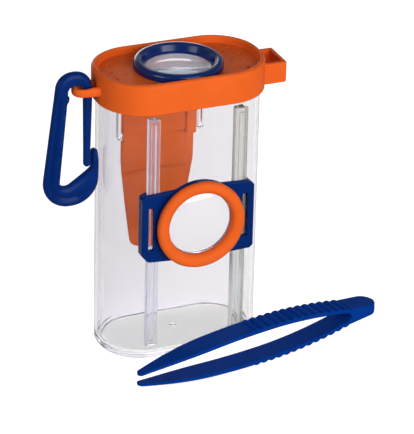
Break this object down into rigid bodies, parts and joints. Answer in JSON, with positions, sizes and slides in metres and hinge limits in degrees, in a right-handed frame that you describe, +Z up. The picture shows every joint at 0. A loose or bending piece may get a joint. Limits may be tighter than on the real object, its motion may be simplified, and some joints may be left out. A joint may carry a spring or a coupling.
{
  "type": "bug catcher jar",
  "caption": "Clear oval collecting jar with a vented magnifier lid, a magnifier that slides on the front, a snap hook, a scoop and springy tweezers",
  "frame": {"origin": "middle of the jar's base", "axes": "+Z up, +X along the jar's long side towards the tweezers socket, the sliding magnifier faces -Y"},
  "size_m": [0.1637, 0.0889, 0.1455],
  "materials": {
    "clear_plastic": "clear polished moulding",
    "lens_plastic": "clear polished lens",
    "orange_plastic": "satin moulded",
    "blue_plastic": "satin moulded"
  },
  "bodies": {
    "jar": {"jar": "clear_plastic"},
    "lid": {"lid": "orange_plastic", "lid_lens": "lens_plastic", "lid_bezel": "blue_plastic"},
    "magnifier": {"slider": "blue_plastic", "magnifier_ring": "orange_plastic", "magnifier_lens": "lens_plastic"},
    "carabiner": {"carabiner": "blue_plastic"},
    "gate": {"carabiner_gate": "blue_plastic"},
    "scoop": {"scoop": "orange_plastic"},
    "tweezers": {"tweezers_tail": "blue_plastic"},
    "upper_arm": {"tweezers_upper_arm": "blue_plastic"},
    "lower_arm": {"tweezers_lower_arm": "blue_plastic"}
  },
  "joints": [
    {"name": "lid_lift", "type": "slide", "parent": "jar", "child": "lid", "axis": [0, 0, 1], "range_m": [0, 0.06]},
    {"name": "magnifier_slide", "type": "slide", "parent": "jar", "child": "magnifier", "axis": [0, 0, 1], "range_m": [-0.044, 0.036]},
    {"name": "carabiner_swing", "type": "hinge", "parent": "lid", "child": "carabiner", "pos_m": [-0.0522, 0, 0.13565], "axis": [0, 1, 0], "range_deg": [0, 100]},
    {"name": "gate_open", "type": "hinge", "parent": "carabiner", "child": "gate", "pos_m": [-0.0455, 0, 0.12825], "axis": [0, 1, 0], "range_deg": [0, 14], "stiffness_Nm_per_rad": 0.03},
    {"name": "scoop_slide", "type": "slide", "parent": "jar", "child": "scoop", "axis": [0, 0, -1], "range_m": [0, 0.027]},
    {"name": "tweezers_lift", "type": "slide", "parent": "jar", "child": "tweezers", "axis": [0, 0, 1], "range_m": [0, 0.06]},
    {"name": "upper_arm_flex", "type": "hinge", "parent": "tweezers", "child": "upper_arm", "pos_m": [0.0782, -0.0287, 0.0131], "axis": [0.225, -0.9744, 0], "range_deg": [0, 0.83], "stiffness_Nm_per_rad": 5},
    {"name": "lower_arm_flex", "type": "hinge", "parent": "tweezers", "child": "lower_arm", "pos_m": [0.0782, -0.0287, 0.0071], "axis": [0.225, -0.9744, 0], "range_deg": [-0.83, 0], "stiffness_Nm_per_rad": 5}
  ],
  "couplings": [
    {"joint": "lower_arm_flex", "follows": "upper_arm_flex", "ratio": -1}
  ]
}
